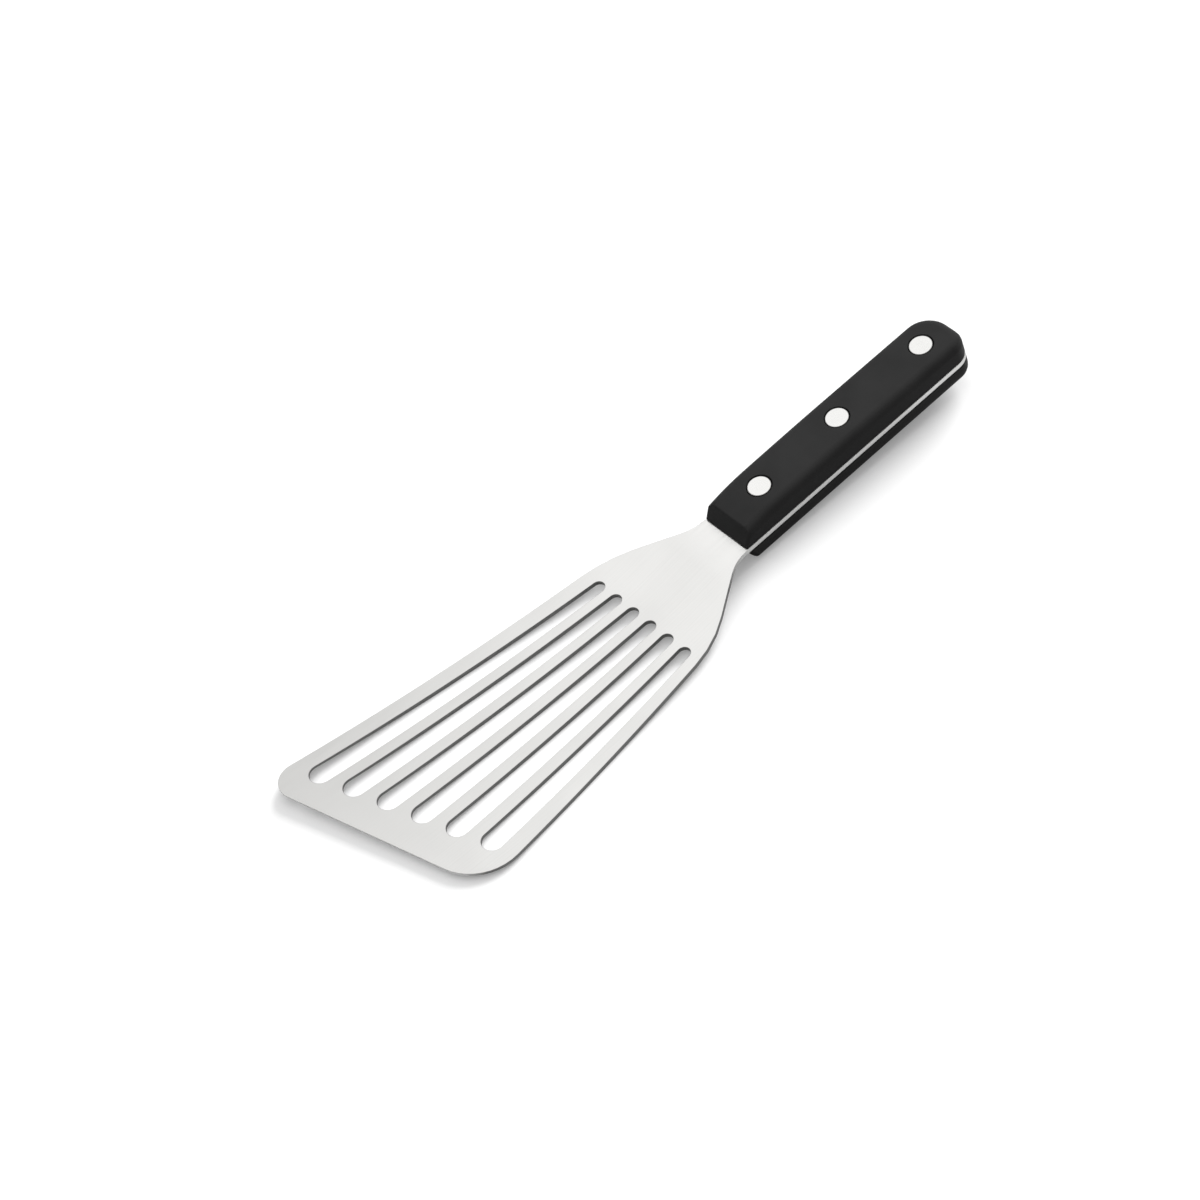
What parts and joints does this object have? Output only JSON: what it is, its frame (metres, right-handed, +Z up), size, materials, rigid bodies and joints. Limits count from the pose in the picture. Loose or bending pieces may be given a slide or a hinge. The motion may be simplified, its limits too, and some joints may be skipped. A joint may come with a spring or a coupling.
{
  "type": "slotted turner",
  "caption": "Slotted fish turner: a thin curved steel blade with fanned slots and a slanted front edge, and a full tang riveted between black handle scales.",
  "frame": {"origin": "on the surface that the turner lies on, under the middle of its box", "axes": "+X from the handle to the blade's front edge, +Y sideways to the short side of the slanted edge, +Z up"},
  "size_m": [0.2596, 0.0824, 0.0216],
  "materials": {
    "steel_sheet": "finely brushed stainless sheet",
    "rivet_steel": "ground flush, fine satin",
    "black_scale": "satin black moulded plastic"
  },
  "bodies": {
    "root": {"blade": "steel_sheet", "upper_scale": "black_scale", "lower_scale": "black_scale", "front_rivet_post": "rivet_steel", "front_rivet_sleeve": "rivet_steel", "middle_rivet_post": "rivet_steel", "middle_rivet_sleeve": "rivet_steel", "rear_rivet_post": "rivet_steel", "rear_rivet_sleeve": "rivet_steel"}
  },
  "joints": []
}
